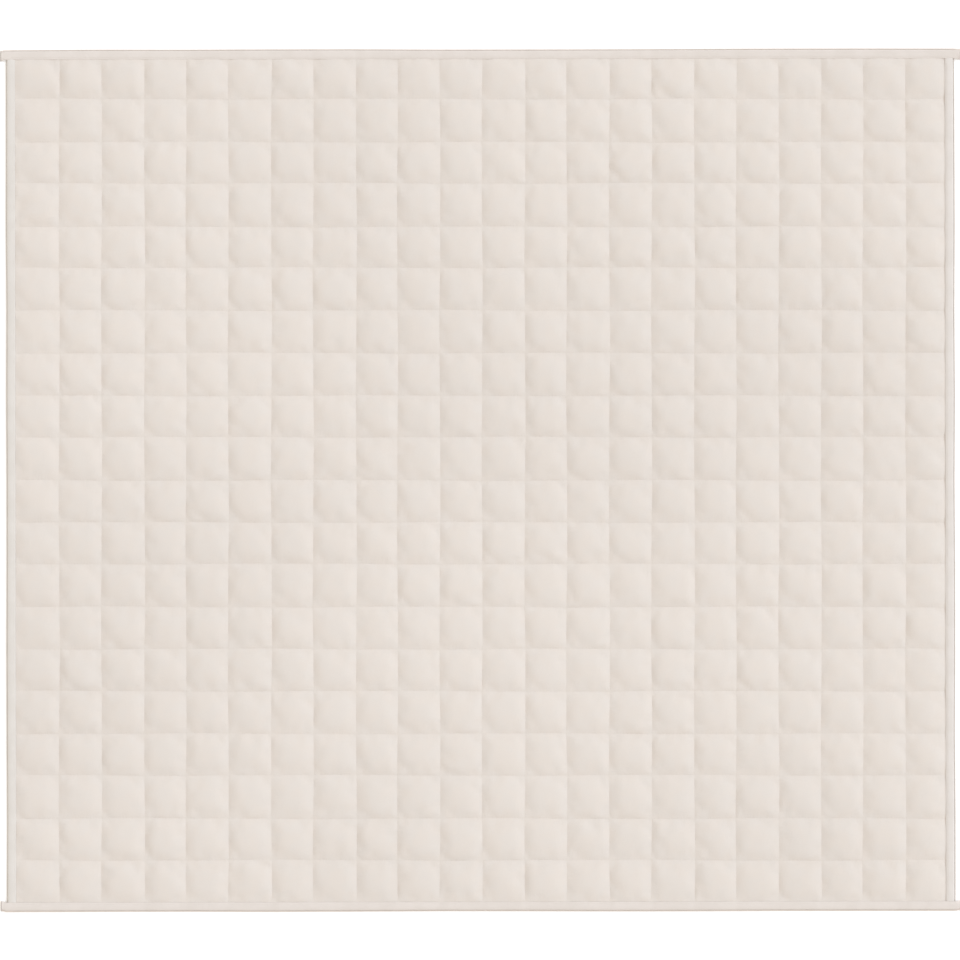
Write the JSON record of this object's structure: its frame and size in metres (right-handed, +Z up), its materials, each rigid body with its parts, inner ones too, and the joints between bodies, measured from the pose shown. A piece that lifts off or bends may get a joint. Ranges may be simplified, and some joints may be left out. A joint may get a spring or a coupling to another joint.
{
  "type": "weighted blanket",
  "caption": "Weighted blanket lying flat, quilted into a grid of square bead-filled pockets, with folded binding strips round its four edges and short tabs at the corners.",
  "frame": {"origin": "on the surface that the blanket lies on, under the middle of the blanket", "axes": "+X along the long side, +Y towards the head edge, +Z up out of the upper face"},
  "size_m": [2.226, 2.0014, 0.0156],
  "materials": {
    "quilt_cloth": "soft matt woven cloth, light cream",
    "binding_cloth": "smooth folded cloth strip, light cream"
  },
  "bodies": {
    "root": {"quilted_body": "quilt_cloth", "binding_head": "binding_cloth", "binding_foot": "binding_cloth", "binding_left": "binding_cloth", "binding_right": "binding_cloth"}
  },
  "joints": []
}
